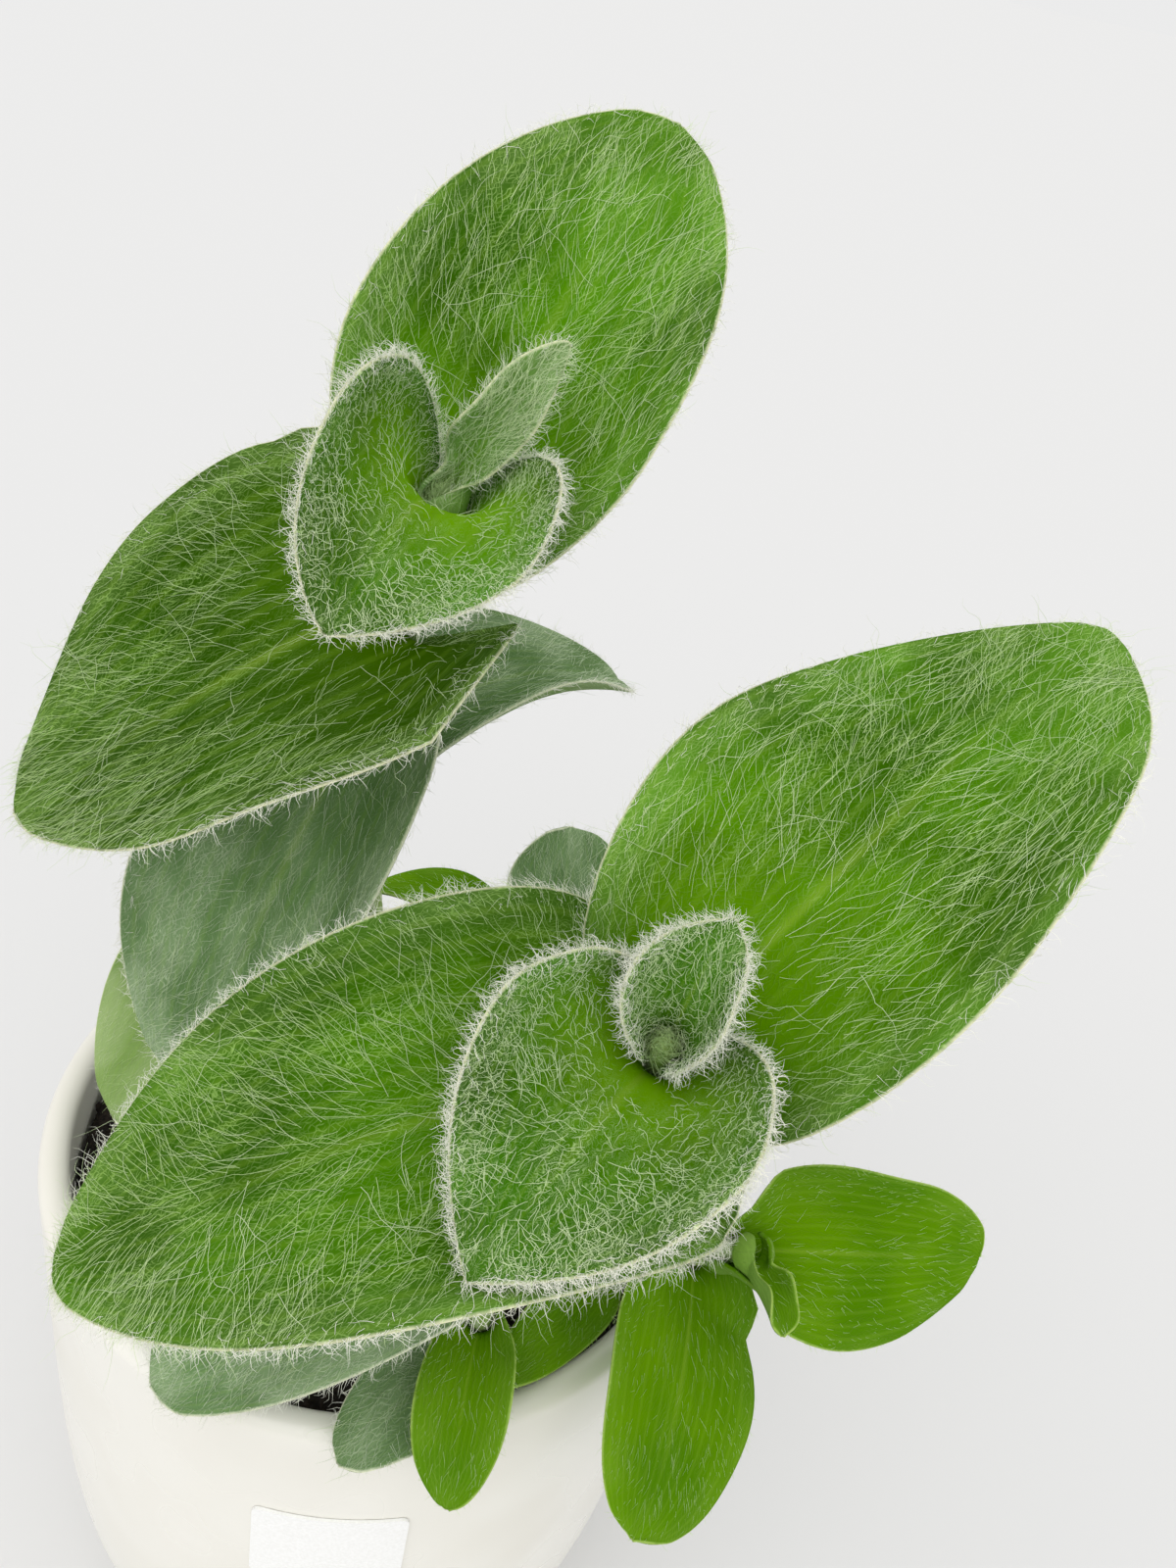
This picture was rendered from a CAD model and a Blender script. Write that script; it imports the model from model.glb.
# %% [markdown]
# # A potted white velvet tradescantia
#
# The plant has two leafy stems and three short shoots in a small round pot. Its broad green
# leaves lie under long white hairs, and that coat is what the eye sees first.
#
# This lesson dresses a fixed frame of plain solids. The pot, label, soil, stems and leaves
# are made again as finer meshes in the same places, and Geometry Nodes grow the hairs.

import math

import bmesh
import bpy
import numpy as np
from mathutils import Matrix, Vector


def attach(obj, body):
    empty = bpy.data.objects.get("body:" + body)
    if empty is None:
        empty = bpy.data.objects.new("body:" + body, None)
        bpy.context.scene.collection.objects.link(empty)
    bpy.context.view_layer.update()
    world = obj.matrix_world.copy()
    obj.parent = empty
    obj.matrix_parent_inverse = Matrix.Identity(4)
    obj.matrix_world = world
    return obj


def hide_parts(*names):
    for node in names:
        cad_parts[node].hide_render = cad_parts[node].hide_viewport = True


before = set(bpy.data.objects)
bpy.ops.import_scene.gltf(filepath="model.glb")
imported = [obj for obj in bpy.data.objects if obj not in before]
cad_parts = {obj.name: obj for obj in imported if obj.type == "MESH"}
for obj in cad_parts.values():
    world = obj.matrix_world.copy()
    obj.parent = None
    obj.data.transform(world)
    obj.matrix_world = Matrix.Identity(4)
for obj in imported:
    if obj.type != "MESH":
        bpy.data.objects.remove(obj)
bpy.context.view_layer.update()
MM = 0.001
print("nodes in the frame:", len(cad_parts))

# %% [markdown]
# ## Helpers for objects and materials
#
# Some steps come back for every piece: an object is put in the scene, a colour is read from
# its web code, a material is started and its sockets are filled. They could be written out
# each time, but as short functions they keep the later cells about the plant itself.

# %% Object and material helpers
def new_object(name, data):
    """An object in the scene, from its mesh, lamp or camera."""
    made = bpy.data.objects.new(name, data)
    bpy.context.scene.collection.objects.link(made)
    return made


def linear(code):
    """A colour written as a web code, such as 4e8a12, as linear red, green, blue and one."""
    shares = [int(code[i:i + 2], 16) / 255 for i in (0, 2, 4)]
    light = [s / 12.92 if s <= 0.04045 else ((s + 0.055) / 1.055) ** 2.4 for s in shares]
    return (*light, 1.0)


def new_material(name):
    material = bpy.data.materials.new(name)
    material.use_nodes = True
    return material, material.node_tree, material.node_tree.nodes["Principled BSDF"]


def fill(tree, node, values):
    """Sets inputs of a node, by name or number, from other nodes' outputs or plain values."""
    for label, value in values.items():
        if isinstance(value, bpy.types.NodeSocket):
            tree.links.new(value, node.inputs[label])
        else:
            node.inputs[label].default_value = value


print("a leaf green in linear light:", linear("4e8a12")[:3])

# %% [markdown]
# ## Camera, floor and light
#
# The plant is seen from a little above, about a third of a right angle down, with the camera
# leaning to one side. A camera's place can be found by dragging it until the outline fits, but
# here the pot's rim, a circle of known size, gives it: the shape of its ellipse sets the pitch,
# and its size the distance. So the angles and the place are written as numbers, and the matrix
# is built from them.

# %% Camera
PHOTO_HEIGHT = 1600
FOCAL_PIXELS = 1300
SENSOR = 36.0
CAMERA_PITCH = math.radians(34)
CAMERA_LEAN = math.radians(12)
CAMERA_PLACE = Vector((16.66, -114.9, 229.24)) * MM


def make_camera():
    data = bpy.data.cameras.new("camera")
    camera = new_object("camera", data)
    forward = Vector((0, math.cos(CAMERA_PITCH), -math.sin(CAMERA_PITCH)))
    level_up = Vector((0, math.sin(CAMERA_PITCH), math.cos(CAMERA_PITCH)))
    level_right = Vector((1, 0, 0))
    right = level_right * math.cos(CAMERA_LEAN) + level_up * math.sin(CAMERA_LEAN)
    up = level_up * math.cos(CAMERA_LEAN) - level_right * math.sin(CAMERA_LEAN)
    turn = Matrix((right, up, -forward)).transposed().to_4x4()
    camera.matrix_world = Matrix.Translation(CAMERA_PLACE) @ turn
    data.sensor_fit = "VERTICAL"
    data.sensor_height = SENSOR
    data.lens = FOCAL_PIXELS * SENSOR / PHOTO_HEIGHT
    data.clip_start = 0.01
    data.clip_end = 200.0
    bpy.context.scene.camera = camera
    return camera


camera = make_camera()
print("lens in mm:", round(camera.data.lens, 2))

# %% [markdown]
# The background is one pale, even surface in bright, soft daylight. A curved paper sweep would
# do, but a very wide plane is simpler, and it meets the sky at the horizon without a line when
# both have the same brightness. One sun with a wide disc adds direction from the front and
# leaves only a soft shadow at the pot's foot. Standard colour keeps the greens fresh.

# %% Floor, sky and sun
FLOOR_HALF = 60.0
SKY_STRENGTH = 0.835
SUN_HEADING = Vector((0.12, 0.6, -0.9))
SUN_DISC = math.radians(70)
SUN_STRENGTH = 1.26
SUN_COLOUR = (1.0, 0.99, 0.97)


def make_floor():
    material, tree, surface = new_material("pale floor")
    fill(tree, surface, {
        "Base Color": linear("dddddd"), "Roughness": 1.0, "Specular IOR Level": 0.0,
    })
    far = FLOOR_HALF
    corners = [(-far, -far, 0), (far, -far, 0), (far, far, 0), (-far, far, 0)]
    mesh = bpy.data.meshes.new("floor")
    mesh.from_pydata(corners, [], [(0, 1, 2, 3)])
    mesh.materials.append(material)
    floor = new_object("floor", mesh)


def make_light():
    world = bpy.data.worlds.new("bright sky")
    world.use_nodes = True
    background = world.node_tree.nodes["Background"]
    fill(world.node_tree, background, {"Color": (1.0, 1.0, 1.0, 1.0), "Strength": SKY_STRENGTH})
    bpy.context.scene.world = world
    data = bpy.data.lights.new("window light", "SUN")
    data.angle, data.energy, data.color = SUN_DISC, SUN_STRENGTH, SUN_COLOUR
    lamp = new_object("window light", data)
    lamp.location = -SUN_HEADING
    lamp.rotation_euler = SUN_HEADING.to_track_quat("-Z", "Y").to_euler()
    bpy.context.scene.view_settings.view_transform = "Standard"


make_floor()
make_light()

# %% [markdown]
# ## Tools for meshes
#
# Most of the pieces are smooth surfaces that a formula gives, so their meshes are grids of
# points. A few small helpers are enough: a smooth step from nought to one that eases one shape
# into another, the faces between the rows of a grid, and an object from points and faces.

# %% Mesh helpers
triangle_counts = []


def smooth(t):
    s = np.clip(t, 0.0, 1.0)
    return s * s * (3 - 2 * s)


def unit(vectors):
    vectors = np.asarray(vectors, float)
    return vectors / np.linalg.norm(vectors, axis=-1, keepdims=True)


def grid_faces(rows, columns, first=0, wrap=False, flip=False):
    """Faces between the points of a grid of rows + 1 lines. With wrap, its columns close."""
    stride = columns if wrap else columns + 1
    faces = []
    for row in range(rows):
        for column in range(columns):
            after = (column + 1) % stride
            a = first + row * stride + column
            b = first + row * stride + after
            c = first + (row + 1) * stride + after
            d = first + (row + 1) * stride + column
            faces.append((d, c, b, a) if flip else (a, b, c, d))
    return faces


def edge_ring(rows, columns):
    """The points round a grid's edge, in order."""
    stride = columns + 1
    ring = [row * stride for row in range(rows)]
    ring += [rows * stride + column for column in range(columns)]
    ring += [row * stride + columns for row in range(rows, 0, -1)]
    return ring + list(range(columns, 0, -1))


def make_piece(name, points, faces, material, is_smooth=True):
    """An object in the frame's metres, from points in millimetres."""
    mesh = bpy.data.meshes.new(name)
    mesh.from_pydata([tuple(p) for p in np.asarray(points) * MM], [], faces)
    mesh.validate()
    mesh.polygons.foreach_set("use_smooth", [is_smooth] * len(mesh.polygons))
    mesh.materials.append(material)
    return new_object(name, mesh)


def hand_over(piece, slot, *nodes):
    """Tells the frame where a finished piece belongs."""
    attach(piece, "root")
    if nodes:
        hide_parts(*nodes)
    triangle_counts.append(sum(len(p.vertices) - 2 for p in piece.data.polygons))
    print(f"{piece.name}: {triangle_counts[-1]} triangles")


# %% [markdown]
# ## Shader groups
#
# Two effects turn up in more than one finish, so each is a node group that is built once.
# The first is unevenness: a fine grain and broad clouds, as on glaze, paper, soil and skin. The
# second is felt: thin pale lines that cross at small angles, for the undermost hairs that are
# too fine to model one by one. Each layer of felt is a comb of wavy lines, broken up by noise.

# %% Node helpers
FLOAT = "NodeSocketFloat"
WHOLE = "NodeSocketInt"
VECTOR = "NodeSocketVector"
GEOMETRY = "NodeSocketGeometry"


def add_node(tree, kind, inputs=None, **settings):
    """A new node with its settings, and its inputs by name or number."""
    node = tree.nodes.new(kind)
    for key, value in settings.items():
        setattr(node, key, value)
    fill(tree, node, inputs or {})
    return node


def calculate(tree, operation, *values):
    numbered = dict(enumerate(values))
    return add_node(tree, "ShaderNodeMath", numbered, operation=operation).outputs[0]


def product(tree, first, *others):
    for other in others:
        first = calculate(tree, "MULTIPLY", first, other)
    return first


def vector_math(tree, operation, *values):
    numbered = dict(enumerate(values))
    return add_node(tree, "ShaderNodeVectorMath", numbered, operation=operation).outputs[0]


def scaled(tree, vector, factor):
    inputs = {0: vector, "Scale": factor}
    return add_node(tree, "ShaderNodeVectorMath", inputs, operation="SCALE").outputs[0]


def split(tree, vector):
    """The first two parts of a vector."""
    parts = add_node(tree, "ShaderNodeSeparateXYZ", {0: vector}).outputs
    return parts["X"], parts["Y"]


def blend_colour(tree, share, low, high):
    inputs = {"Factor": share, "A": low, "B": high}
    return add_node(tree, "ShaderNodeMix", inputs, data_type="RGBA").outputs["Result"]


def step_between(tree, value, low, high, out_low=0.0, out_high=1.0):
    """A smooth step from one number to another while the value goes from low to high."""
    numbered = dict(enumerate((value, low, high, out_low, out_high)))
    node = add_node(tree, "ShaderNodeMapRange", numbered, interpolation_type="SMOOTHSTEP")
    return node.outputs[0]


def noise(tree, vector, scale, detail=2.0):
    inputs = {"Vector": vector, "Scale": scale, "Detail": detail}
    return add_node(tree, "ShaderNodeTexNoise", inputs).outputs["Fac"]


def new_group(name, inputs, outputs, kind="ShaderNodeTree"):
    """A node group with named sockets. Inputs are (name, type, usual value)."""
    group = bpy.data.node_groups.new(name, kind)
    for label, socket_type, value in inputs:
        socket = group.interface.new_socket(label, in_out="INPUT", socket_type=socket_type)
        if value is not None:
            socket.default_value = value
    for label, socket_type in outputs:
        group.interface.new_socket(label, in_out="OUTPUT", socket_type=socket_type)
    given = group.nodes.new("NodeGroupInput").outputs
    return group, given, group.nodes.new("NodeGroupOutput").inputs


def use_group(tree, group, **values):
    return add_node(tree, "ShaderNodeGroup", values, node_tree=group).outputs


# %% Unevenness
def make_uneven_group():
    inputs = [("Vector", VECTOR, None), ("Fine", FLOAT, 900.0), ("Broad", FLOAT, 60.0)]
    outputs = [("Grain", FLOAT), ("Clouds", FLOAT)]
    group, given, result = new_group("unevenness", inputs, outputs)
    for scale, detail, label in (("Fine", 3.0, "Grain"), ("Broad", 2.0, "Clouds")):
        mottle = noise(group, given["Vector"], given[scale], detail)
        group.links.new(step_between(group, mottle, 0.3, 0.7), result[label])
    return group


# %% Felt
STRANDS = [
    # turn in radians, lines to the unit, width of a line, shift
    (0.22, 19.0, 0.17, 3.1),
    (-0.30, 22.0, 0.16, 7.7),
    (0.75, 15.0, 0.13, 1.3),
    (-0.90, 17.0, 0.13, 5.9),
]
SWAY_FINENESS = 3.2
BREAK_FINENESS = (16.0, 2.4, 1.0)


def strand_layer(group, place, curl, turn, fineness, width, shift):
    """Wavy lines along the turned second axis: 1 on a line and 0 off it."""
    turned_place = add_node(group, "ShaderNodeMapping", {
        "Vector": place, "Rotation": (0, 0, turn), "Location": (shift, 0.7 * shift, 0),
    }).outputs[0]
    sway = calculate(group, "SUBTRACT", noise(group, turned_place, SWAY_FINENESS), 0.5)
    across = calculate(group, "MULTIPLY_ADD", sway, curl, split(group, turned_place)[0])
    off_line = calculate(group, "PINGPONG", product(group, across, fineness), 0.5)
    line = step_between(group, off_line, 0.0, width, 1.0, 0.0)
    drawn_out = vector_math(group, "MULTIPLY", turned_place, BREAK_FINENESS)
    unbroken = step_between(group, noise(group, drawn_out, 1.0, 1.0), 0.42, 0.6)
    return product(group, line, unbroken)


def make_felt_group():
    """Place is in tens of millimetres: x across the blade and y along it."""
    inputs = [("Place", VECTOR, None), ("Spread", FLOAT, 1.0), ("Curl", FLOAT, 0.3)]
    group, given, result = new_group("felt", inputs, [("Strands", FLOAT)])
    layers = [strand_layer(group, given["Place"], given["Curl"], *strand) for strand in STRANDS]
    steep = product(group, calculate(group, "MAXIMUM", layers[2], layers[3]), given["Spread"])
    flat = calculate(group, "MAXIMUM", layers[0], layers[1])
    group.links.new(calculate(group, "MAXIMUM", flat, steep), result["Strands"])
    return group


uneven = make_uneven_group()
felt = make_felt_group()
print("shader groups:", [g.name for g in bpy.data.node_groups])


# %% A finish that is only uneven
def uneven_marks(tree, fine, broad):
    place = add_node(tree, "ShaderNodeTexCoord").outputs["Object"]
    return use_group(tree, uneven, Vector=place, Fine=fine, Broad=broad)


def add_bump(tree, surface, height, strength, distance):
    inputs = {"Strength": strength, "Distance": distance, "Height": height}
    bump = add_node(tree, "ShaderNodeBump", inputs)
    tree.links.new(bump.outputs[0], surface.inputs["Normal"])


def make_uneven_finish(name, scales, tone, colours, dull_tone, roughness, bump, others):
    """Its colour and height follow one tone of the unevenness, and its roughness another."""
    material, tree, surface = new_material(name)
    marks = uneven_marks(tree, *scales)
    fill(tree, surface, {
        "Base Color": blend_colour(tree, marks[tone], *map(linear, colours)),
        "Roughness": step_between(tree, marks[dull_tone], 0, 1, *roughness),
        **others,
    })
    add_bump(tree, surface, marks[tone], *bump)
    return material


# %% [markdown]
# ## The pot
#
# The pot is thrown or cast stoneware with a warm off-white satin glaze. Its wall is upright
# above and rounds in to a flat foot. A curve with the Screw modifier would turn it, but the
# profile is a formula, so its points are worked out and turned in code, with enough steps that
# no facet shows on the lip. The glaze is smooth, so only its tone and a faint waviness vary.

# %% Pot profile
POT_HEIGHT = 92.0
RIM_RADIUS = 44.0
BASE_RADIUS = 27.0
POT_WALL = 3.7
POT_FLOOR = 5.0
POT_SIDES = 128
FOOT_HEIGHTS = [0.0, 0.4, 1.0, 1.8, 3.0, 4.5, 6.5, 9.0, 12.0, 16.0]
WALL_HEIGHTS = np.linspace(21, 88, 14)
INNER_HEIGHTS = (80, 60, 40, 28, 18, 11)


def pot_radius(z):
    drop = (POT_HEIGHT - z) / POT_HEIGHT
    return BASE_RADIUS + (RIM_RADIUS - BASE_RADIUS) * max(0.0, 1 - drop ** 5.5) ** 0.6


def turned(profile, sides):
    """Points and faces of a profile of (radius, height), from axis to axis, turned round."""
    angles = np.linspace(0, 2 * math.pi, sides, endpoint=False)
    rings = [[(r * math.cos(a), r * math.sin(a), z) for a in angles] for r, z in profile[1:-1]]
    points = [point for ring in rings for point in ring]
    faces = grid_faces(len(rings) - 1, sides, wrap=True)
    start, end = len(points), len(points) + 1
    points += [(0, 0, profile[0][1]), (0, 0, profile[-1][1])]
    last = (len(rings) - 1) * sides
    for side in range(sides):
        after = (side + 1) % sides
        faces.append((start, after, side))
        faces.append((end, last + side, last + after))
    return np.array(points), faces


def pot_profile():
    profile = [(0.0, 0.0), (BASE_RADIUS - 1.0, 0.0)]
    profile += [(pot_radius(z), z) for z in (*FOOT_HEIGHTS, *WALL_HEIGHTS)]
    lip = POT_WALL / 2
    for angle in np.linspace(0, math.pi, 13):
        across = RIM_RADIUS - lip + lip * math.cos(angle)
        profile.append((across, POT_HEIGHT - lip + lip * math.sin(angle)))
    profile += [(pot_radius(z) - POT_WALL, z) for z in INNER_HEIGHTS]
    return profile + [(BASE_RADIUS, POT_FLOOR), (0.0, POT_FLOOR)]


# %% Pot
glaze = make_uneven_finish(
    "off white glaze", scales=(420.0, 38.0), tone="Clouds", colours=("f1efe7", "eae7dd"),
    dull_tone="Clouds", roughness=(0.26, 0.36), bump=(0.12, 0.0006),
    others={"Specular IOR Level": 0.45, "Coat Weight": 0.15, "Coat Roughness": 0.2},
)
pot = make_piece("glazed_pot", *turned(pot_profile(), POT_SIDES), glaze)
hand_over(pot, "glazed_pot", "pot")

# %% [markdown]
# ## The label
#
# A plain white slip of paper is stuck to the front of the pot. A flat box would stand off a
# round wall, so the slip is a grid of points bent round the pot's own radius, with its corners
# cut round and one corner lifting by a hair's breadth, as such labels do.

# %% Label
LABEL_WIDTH = 18.0
LABEL_HEIGHT = 15.0
LABEL_TOP = 75.0
LABEL_AZIMUTH = math.radians(-83)
LABEL_STAND = 0.05
LABEL_THICKNESS = 0.35
LABEL_CORNER = 1.0
LABEL_LIFT = 0.25
LABEL_ROWS = [0.0, 0.1, 0.3, 0.6, 1.0, 3.0, 5.5, 7.5, 9.5, 12.0, 14.0, 14.4, 14.7, 14.9, 15.0]
LABEL_COLUMNS = 24


def label_outline(down):
    """Half the label's width at a height, less where a corner is cut round."""
    from_end = min(down, LABEL_HEIGHT - down)
    if from_end >= LABEL_CORNER:
        return LABEL_WIDTH / 2
    cut = LABEL_CORNER - math.sqrt(max(LABEL_CORNER ** 2 - (LABEL_CORNER - from_end) ** 2, 0))
    return LABEL_WIDTH / 2 - cut


def label_point(layer, down, share):
    across = label_outline(down) * (2 * share - 1)
    lift = LABEL_LIFT * smooth((share - 0.75) * 4) * smooth((down / LABEL_HEIGHT - 0.7) * 3.3)
    reach = pot_radius(LABEL_TOP - down) + LABEL_STAND + layer * LABEL_THICKNESS + lift
    angle = LABEL_AZIMUTH + across / RIM_RADIUS
    return reach * math.cos(angle), reach * math.sin(angle), LABEL_TOP - down


def make_label(paper):
    shares = [column / LABEL_COLUMNS for column in range(LABEL_COLUMNS + 1)]
    points = [label_point(layer, down, share)
              for layer in (0, 1) for down in LABEL_ROWS for share in shares]
    rows, layer_size = len(LABEL_ROWS) - 1, len(LABEL_ROWS) * len(shares)
    faces = grid_faces(rows, LABEL_COLUMNS)
    faces += grid_faces(rows, LABEL_COLUMNS, layer_size, flip=True)
    ring = edge_ring(rows, LABEL_COLUMNS)
    for a, b in zip(ring, ring[1:] + ring[:1]):
        faces.append((a, b, layer_size + b, layer_size + a))
    return make_piece("blank_label", points, faces, paper, is_smooth=False)


paper = make_uneven_finish(
    "label paper", scales=(2600.0, 150.0), tone="Grain", colours=("fbfbfa", "f4f4f2"),
    dull_tone="Grain", roughness=(0.5, 0.65), bump=(0.2, 0.00008), others={},
)
hand_over(make_label(paper), "label_paper", "pot_label")

# %% [markdown]
# ## The soil
#
# Peaty potting soil is nearly black, crumbly and a little damp, with a few pale grains. Its top
# could be one bumpy disc, but the crumbs cast small shadows that a bump can't give. So a
# disc with broad lumps carries a layer of loose crumbs, which Geometry Nodes scatter: points on
# the faces, one of a few crumb shapes on each, turned and sized at random.

# %% Soil finishes
def make_soil_finish(name, dark, light):
    return make_uneven_finish(
        name, scales=(1500.0, 300.0), tone="Grain", colours=(dark, light), dull_tone="Clouds",
        roughness=(0.75, 0.95), bump=(0.6, 0.0004), others={"Specular IOR Level": 0.25},
    )


peat = make_soil_finish("peat", "0e0b09", "2b231d")
pale_grain = make_soil_finish("pale grain", "bdb8ae", "dedad2")

# %% Soil body
SOIL_TOP = 85.0
SOIL_GAP = 0.3
SOIL_SIDES = 96
SOIL_RINGS = np.linspace(0.98, 0.02, 34)


def soil_height(x, y):
    lumps = np.sin(0.31 * x + 1) * np.cos(0.37 * y) + 0.5 * np.sin(0.83 * y + 0.45 * x)
    crumbs = np.sin(1.9 * x + 0.7) * np.sin(2.3 * y) + 0.6 * np.sin(3.7 * x - 2.9 * y)
    return SOIL_TOP + 0.9 * lumps + 0.25 * crumbs


def make_soil_body():
    profile = [(0.0, POT_FLOOR + SOIL_GAP), (BASE_RADIUS - 2, POT_FLOOR + SOIL_GAP)]
    profile += [(pot_radius(z) - POT_WALL - 2 * SOIL_GAP, z) for z in (10, 17, 31, 60)]
    edge = RIM_RADIUS - POT_WALL - 2 * SOIL_GAP
    profile.append((edge, SOIL_TOP - 1))
    profile += [(edge * share, SOIL_TOP) for share in SOIL_RINGS] + [(0.0, SOIL_TOP)]
    points, faces = turned(profile, SOIL_SIDES)
    is_top = points[:, 2] > SOIL_TOP - 0.01
    points[is_top, 2] = soil_height(points[is_top, 0], points[is_top, 1])
    return make_piece("soil_body", points, faces, peat)


soil_body = make_soil_body()
hand_over(soil_body, "potting_soil", "potting_soil")

# %% [markdown]
# The crumbs are grown by a tree of nodes on the soil body, and so are all the hairs later on.
# The tree reads values that are stored at the points of a mesh, such as how thickly crumbs lie
# there. Its result is kept as a plain mesh, and the values come off again.

# %% Growing on a mesh
COAT_VALUES = (
    "loose", "grow", "face_share", "margin_share", "face_size", "margin_size", "strand", "lift",
)


def set_value(mesh, name, values):
    """Stores a number or a direction at each point of a mesh."""
    values = np.asarray(values, np.float32)
    kind, key = ("FLOAT_VECTOR", "vector") if values.ndim == 2 else ("FLOAT", "value")
    mesh.attributes.new(name, kind, "POINT").data.foreach_set(key, values.ravel())


def drop_coat_values(mesh):
    for name in [a.name for a in mesh.attributes if a.name in COAT_VALUES]:
        mesh.attributes.remove(mesh.attributes[name])


def grown(name, base, tree, values):
    """Runs a Geometry Nodes tree on a mesh and keeps the result as a plain mesh of its own."""
    holder = new_object(name, base)
    modifier = holder.modifiers.new("growth", "NODES")
    modifier.node_group = tree
    for item in tree.interface.items_tree:
        if item.item_type == "SOCKET" and item.in_out == "INPUT" and item.name in values:
            modifier[item.identifier] = values[item.name]
    seen = holder.evaluated_get(bpy.context.evaluated_depsgraph_get())
    mesh = bpy.data.meshes.new_from_object(seen)
    mesh.name = name
    holder.modifiers.clear()
    holder.data = mesh
    drop_coat_values(mesh)
    return holder


def named_attribute(tree, name, kind="FLOAT"):
    node = add_node(tree, "GeometryNodeInputNamedAttribute", {"Name": name}, data_type=kind)
    return node.outputs[0]


def random_between(tree, low, high, seed):
    inputs = {2: low, 3: high, "Seed": seed}
    return add_node(tree, "FunctionNodeRandomValue", inputs, data_type="FLOAT").outputs[1]


# %% Crumb shapes and their scatter
FULL_TURN = (6.28, 6.28, 6.28)
CRUMB_SHAPES = 7


def crumb_mesh(rng):
    mesh = bpy.data.meshes.new("crumb")
    shape = bmesh.new()
    bmesh.ops.create_icosphere(shape, subdivisions=1, radius=0.5)
    for vertex in shape.verts:
        vertex.co *= 1 + rng.uniform(-0.28, 0.28)
    stretch = rng.uniform(0.6, 1.0, 3)
    for vertex in shape.verts:
        vertex.co = Vector(c * s for c, s in zip(vertex.co, stretch))
    shape.to_mesh(mesh)
    shape.free()
    return bpy.data.objects.new("crumb", mesh)


def crumb_collection(seed):
    rng = np.random.default_rng(seed)
    collection = bpy.data.collections.new("crumb shapes")
    for _ in range(CRUMB_SHAPES):
        collection.objects.link(crumb_mesh(rng))
    return collection


def make_scatter_tree():
    """Scatters the objects of a collection on a mesh, where its value loose is above nought."""
    inputs = [
        ("Geometry", GEOMETRY, None), ("Crumbs", "NodeSocketCollection", None),
        ("Density", FLOAT, 1e6), ("Smallest", FLOAT, 0.0005), ("Largest", FLOAT, 0.002),
        ("Seed", WHOLE, 1), ("Material", "NodeSocketMaterial", None),
    ]
    outputs = [("Geometry", GEOMETRY)]
    tree, given, result = new_group("scatter crumbs", inputs, outputs, "GeometryNodeTree")
    points = add_node(tree, "GeometryNodeDistributePointsOnFaces", {
        "Mesh": given["Geometry"], "Seed": given["Seed"],
        "Density": product(tree, given["Density"], named_attribute(tree, "loose")),
    })
    shapes = add_node(tree, "GeometryNodeCollectionInfo", {
        "Separate Children": True, "Collection": given["Crumbs"],
    })
    turn = add_node(tree, "FunctionNodeRandomValue", {"Max": FULL_TURN}, data_type="FLOAT_VECTOR")
    share = calculate(tree, "POWER", random_between(tree, 0.0, 1.0, 5), 2.2)
    span = calculate(tree, "SUBTRACT", given["Largest"], given["Smallest"])
    place = add_node(tree, "GeometryNodeInstanceOnPoints", {
        "Pick Instance": True, "Points": points.outputs["Points"],
        "Instance": shapes.outputs[0], "Rotation": turn.outputs[0],
        "Scale": calculate(tree, "MULTIPLY_ADD", share, span, given["Smallest"]),
    })
    real = add_node(tree, "GeometryNodeRealizeInstances", {0: place.outputs[0]})
    finish = add_node(tree, "GeometryNodeSetMaterial", {
        "Geometry": real.outputs[0], "Material": given["Material"],
    })
    tree.links.new(finish.outputs[0], result["Geometry"])
    return tree


# %% Crumbs and pale grains
def add_loose_value(body):
    """Crumbs lie on the top alone, and keep clear of the pot's wall."""
    place = np.array([v.co for v in body.data.vertices]) / MM
    from_wall = RIM_RADIUS - POT_WALL - 1.2 - np.hypot(place[:, 0], place[:, 1])
    set_value(body.data, "loose", (place[:, 2] > SOIL_TOP - 2.5) * smooth(from_wall / 0.5))


add_loose_value(soil_body)
scatter_tree = make_scatter_tree()
crumb_shapes = crumb_collection(3)
crumb_settings = {
    "soil_crumbs": {"Smallest": 0.5 * MM, "Largest": 2.6 * MM, "Density": 0.26e6, "Seed": 4,
                    "Material": peat},
    "soil_pale_grains": {"Smallest": 0.7 * MM, "Largest": 2.4 * MM, "Density": 0.006e6, "Seed": 9,
                         "Material": pale_grain},
}
for name, settings in crumb_settings.items():
    crumbs = grown(name, soil_body.data, scatter_tree, {**settings, "Crumbs": crumb_shapes})
    hand_over(crumbs, "potting_soil")

# %% [markdown]
# ## The stems
#
# A stem is fleshy, pale green and about five millimetres thick, and it bends as it grows up
# out of the soil. A curve with a bevel would do, but the leaves have to know where the stem is,
# how thick it is and which way it points at any height. So a stem is first a path, measured
# along its length, and its skin is a ring of points about that path.

# %% Stem paths
STEMS = {
    # knots, radius at the root, radius at the top
    "tall": ([[-7, 24, 64], [-7, 24, 80], [-9, 21, 100], [-10, 15, 125], [-8, 8, 150],
              [-3.1, 2.2, 180.3]], 2.6, 1.4),
    "right": ([[22, -2, 64], [22, -2, 80], [25, -6, 96], [28, -14, 115], [29, -24, 134],
               [28, -34.2, 149.9]], 2.6, 1.4),
    "side": ([[28, -10, 68], [29, -11, 82], [34, -13, 93], [41, -15, 97], [46, -19, 105]],
             1.8, 1.4),
    "front": ([[19, -21, 70], [19, -22, 80], [18, -27, 90], [17, -31, 101]], 1.5, 1.2),
    "back": ([[16, 27, 68], [16, 28, 80], [17, 31, 92], [18, 34, 104]], 1.7, 1.3),
}


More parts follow.
